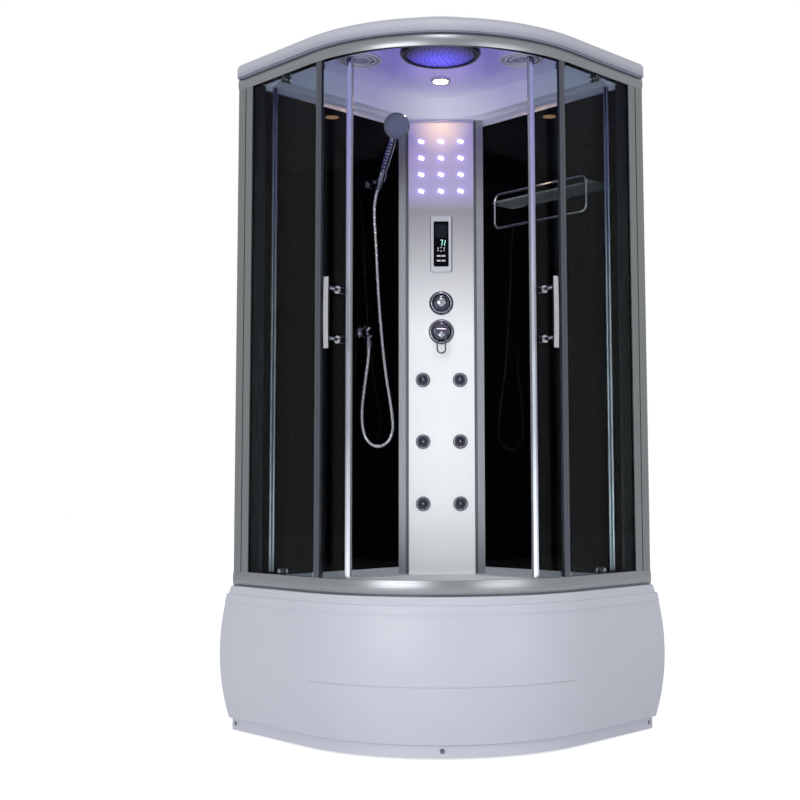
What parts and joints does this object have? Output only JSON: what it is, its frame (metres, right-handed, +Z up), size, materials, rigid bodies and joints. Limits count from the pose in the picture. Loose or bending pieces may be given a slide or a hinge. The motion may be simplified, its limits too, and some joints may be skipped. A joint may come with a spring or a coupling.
{
  "type": "shower cabin with bathtub",
  "caption": "Quarter-round corner shower cabin over a deep tub: bowed apron, black glass walls, curved sliding doors, fittings column and a domed roof.",
  "frame": {"origin": "on the floor, under the middle of the bounding box", "axes": "+Z up; the cabin's back corner points to +Y and its curved front faces -Y; X = 0 is the plan's plane of symmetry"},
  "size_m": [1.336, 1.0873, 2.15],
  "materials": {
    "white_acrylic": "glossy",
    "white_cover": "glossy",
    "aluminium": "satin anodised",
    "chrome": "mirror polished",
    "chromed_plastic": "chrome plated",
    "clear_glass": "clear, toughened",
    "black_glass": "glossy black back-painted",
    "silver_panel": "silver",
    "black_plastic": "glossy",
    "matte_black_plastic": "matte",
    "lit_lens": "frosted, lit",
    "blue_disc": "lit blue",
    "brass": "plain",
    "galvanised_steel": "galvanised",
    "grey_plastic": "plain",
    "white_nylon": "plain",
    "hose_metal": "metal braid look"
  },
  "bodies": {
    "cabin": {"apron_screws": "chrome", "bottom_rail": "aluminium", "ceiling": "white_cover", "ceiling_trims": "chromed_plastic", "column_panel": "silver_panel", "column_trims": "aluminium", "control_bezel": "aluminium", "display_glass": "black_glass", "fixed_glass": "clear_glass", "holder_bracket": "chromed_plastic", "hose_outlet": "chrome", "jet_sockets": "chromed_plastic", "lamp_lens": "lit_lens", "led_windows": "lit_lens", "levelling_feet": "galvanised_steel", "mixer_valve": "brass", "rain_head": "black_plastic", "rain_plate": "blue_disc", "roof_cover": "white_cover", "shelf_glass": "clear_glass", "shelf_rail": "chrome", "shower_hose": "hose_metal", "top_rail": "aluminium", "tub": "white_acrylic", "tub_apron": "white_acrylic", "tub_frame": "galvanised_steel", "upright_profiles": "aluminium", "valve_rosettes": "chrome", "vent_backs": "matte_black_plastic", "wall_panels": "black_glass", "wall_strips": "aluminium", "waste_outlet": "grey_plastic"},
    "left_door": {"left_door_glass": "clear_glass", "left_door_profiles": "aluminium", "left_door_fittings": "chrome"},
    "left_wheel_lead_top": {"left_wheel_lead_top": "white_nylon"},
    "left_wheel_lead_bottom": {"left_wheel_lead_bottom": "white_nylon"},
    "left_wheel_trail_top": {"left_wheel_trail_top": "white_nylon"},
    "left_wheel_trail_bottom": {"left_wheel_trail_bottom": "white_nylon"},
    "right_door": {"right_door_glass": "clear_glass", "right_door_profiles": "aluminium", "right_door_fittings": "chrome"},
    "right_wheel_lead_top": {"right_wheel_lead_top": "white_nylon"},
    "right_wheel_lead_bottom": {"right_wheel_lead_bottom": "white_nylon"},
    "right_wheel_trail_top": {"right_wheel_trail_top": "white_nylon"},
    "right_wheel_trail_bottom": {"right_wheel_trail_bottom": "white_nylon"},
    "drain_plug": {"drain_plug": "chromed_plastic"},
    "diverter_knob": {"diverter_knob": "chromed_plastic"},
    "mixer_cap": {"mixer_cap": "chromed_plastic"},
    "mixer_lever": {"mixer_lever": "chrome"},
    "jet_nozzle_1": {"jet_nozzle_1": "chromed_plastic"},
    "jet_nozzle_2": {"jet_nozzle_2": "chromed_plastic"},
    "jet_nozzle_3": {"jet_nozzle_3": "chromed_plastic"},
    "jet_nozzle_4": {"jet_nozzle_4": "chromed_plastic"},
    "jet_nozzle_5": {"jet_nozzle_5": "chromed_plastic"},
    "jet_nozzle_6": {"jet_nozzle_6": "chromed_plastic"},
    "fan_rotor": {"fan_rotor": "matte_black_plastic"},
    "hand_shower": {"hand_shower": "chromed_plastic", "hose_top_nut": "chrome"}
  },
  "joints": [
    {"name": "left_door_roll", "type": "hinge", "parent": "cabin", "child": "left_door", "pos_m": [0.04753, 0.16562, 0.484], "axis": [0, 0, 1], "range_deg": [0, 24.4]},
    {"name": "left_wheel_lead_top_spin", "type": "hinge", "parent": "left_door", "child": "left_wheel_lead_top", "pos_m": [-0.35935, -0.33312, 1.974], "axis": [-0.6074, -0.7944, 0], "continuous": true},
    {"name": "left_wheel_lead_bottom_spin", "type": "hinge", "parent": "left_door", "child": "left_wheel_lead_bottom", "pos_m": [-0.35935, -0.33312, 0.484], "axis": [-0.6074, -0.7944, 0], "continuous": true},
    {"name": "left_wheel_trail_top_spin", "type": "hinge", "parent": "left_door", "child": "left_wheel_trail_top", "pos_m": [-0.47512, -0.21005, 1.974], "axis": [-0.83, -0.5577, 0], "continuous": true},
    {"name": "left_wheel_trail_bottom_spin", "type": "hinge", "parent": "left_door", "child": "left_wheel_trail_bottom", "pos_m": [-0.47512, -0.21005, 0.484], "axis": [-0.83, -0.5577, 0], "continuous": true},
    {"name": "right_door_roll", "type": "hinge", "parent": "cabin", "child": "right_door", "pos_m": [-0.04753, 0.16562, 0.484], "axis": [0, 0, -1], "range_deg": [0, 24.4]},
    {"name": "right_wheel_lead_top_spin", "type": "hinge", "parent": "right_door", "child": "right_wheel_lead_top", "pos_m": [0.35935, -0.33312, 1.974], "axis": [0.6074, -0.7944, 0], "continuous": true},
    {"name": "right_wheel_lead_bottom_spin", "type": "hinge", "parent": "right_door", "child": "right_wheel_lead_bottom", "pos_m": [0.35935, -0.33312, 0.484], "axis": [0.6074, -0.7944, 0], "continuous": true},
    {"name": "right_wheel_trail_top_spin", "type": "hinge", "parent": "right_door", "child": "right_wheel_trail_top", "pos_m": [0.47512, -0.21005, 1.974], "axis": [0.83, -0.5577, 0], "continuous": true},
    {"name": "right_wheel_trail_bottom_spin", "type": "hinge", "parent": "right_door", "child": "right_wheel_trail_bottom", "pos_m": [0.47512, -0.21005, 0.484], "axis": [0.83, -0.5577, 0], "continuous": true},
    {"name": "plug_lift", "type": "slide", "parent": "cabin", "child": "drain_plug", "axis": [0, 0, 1], "range_m": [0, 0.008]},
    {"name": "diverter_turn", "type": "hinge", "parent": "cabin", "child": "diverter_knob", "pos_m": [0, 0.35899, 1.365], "axis": [0, -1, 0], "continuous": true},
    {"name": "mixer_turn", "type": "hinge", "parent": "cabin", "child": "mixer_cap", "pos_m": [0, 0.35899, 1.265], "axis": [0, -1, 0], "range_deg": [-50, 50]},
    {"name": "lever_lift", "type": "hinge", "parent": "mixer_cap", "child": "mixer_lever", "pos_m": [0, 0.31699, 1.265], "axis": [-1, 0, 0], "range_deg": [0, 25]},
    {"name": "jet_tilt_1", "type": "hinge", "parent": "cabin", "child": "jet_nozzle_1", "pos_m": [-0.064, 0.36199, 1.098], "axis": [1, 0, 0], "range_deg": [-15, 15]},
    {"name": "jet_tilt_2", "type": "hinge", "parent": "cabin", "child": "jet_nozzle_2", "pos_m": [0.064, 0.36199, 1.098], "axis": [1, 0, 0], "range_deg": [-15, 15]},
    {"name": "jet_tilt_3", "type": "hinge", "parent": "cabin", "child": "jet_nozzle_3", "pos_m": [-0.064, 0.36199, 0.8855], "axis": [1, 0, 0], "range_deg": [-15, 15]},
    {"name": "jet_tilt_4", "type": "hinge", "parent": "cabin", "child": "jet_nozzle_4", "pos_m": [0.064, 0.36199, 0.8855], "axis": [1, 0, 0], "range_deg": [-15, 15]},
    {"name": "jet_tilt_5", "type": "hinge", "parent": "cabin", "child": "jet_nozzle_5", "pos_m": [-0.064, 0.36199, 0.673], "axis": [1, 0, 0], "range_deg": [-15, 15]},
    {"name": "jet_tilt_6", "type": "hinge", "parent": "cabin", "child": "jet_nozzle_6", "pos_m": [0.064, 0.36199, 0.673], "axis": [1, 0, 0], "range_deg": [-15, 15]},
    {"name": "fan_spin", "type": "hinge", "parent": "cabin", "child": "fan_rotor", "pos_m": [-0.254, -0.10001, 2.091], "axis": [0, 0, 1], "continuous": true},
    {"name": "hand_shower_tilt", "type": "hinge", "parent": "cabin", "child": "hand_shower", "pos_m": [-0.22263, 0.23021, 1.77016], "axis": [-0.7071, -0.7071, 0], "range_deg": [-12, 20], "deforming": ["shower_hose"]}
  ],
  "couplings": [
    {"joint": "left_wheel_lead_top_spin", "follows": "left_door_roll", "ratio": 54.986},
    {"joint": "left_wheel_lead_bottom_spin", "follows": "left_door_roll", "ratio": -54.986},
    {"joint": "left_wheel_trail_top_spin", "follows": "left_door_roll", "ratio": 54.986},
    {"joint": "left_wheel_trail_bottom_spin", "follows": "left_door_roll", "ratio": -54.986},
    {"joint": "right_wheel_lead_top_spin", "follows": "right_door_roll", "ratio": -54.986},
    {"joint": "right_wheel_lead_bottom_spin", "follows": "right_door_roll", "ratio": 54.986},
    {"joint": "right_wheel_trail_top_spin", "follows": "right_door_roll", "ratio": -54.986},
    {"joint": "right_wheel_trail_bottom_spin", "follows": "right_door_roll", "ratio": 54.986}
  ]
}
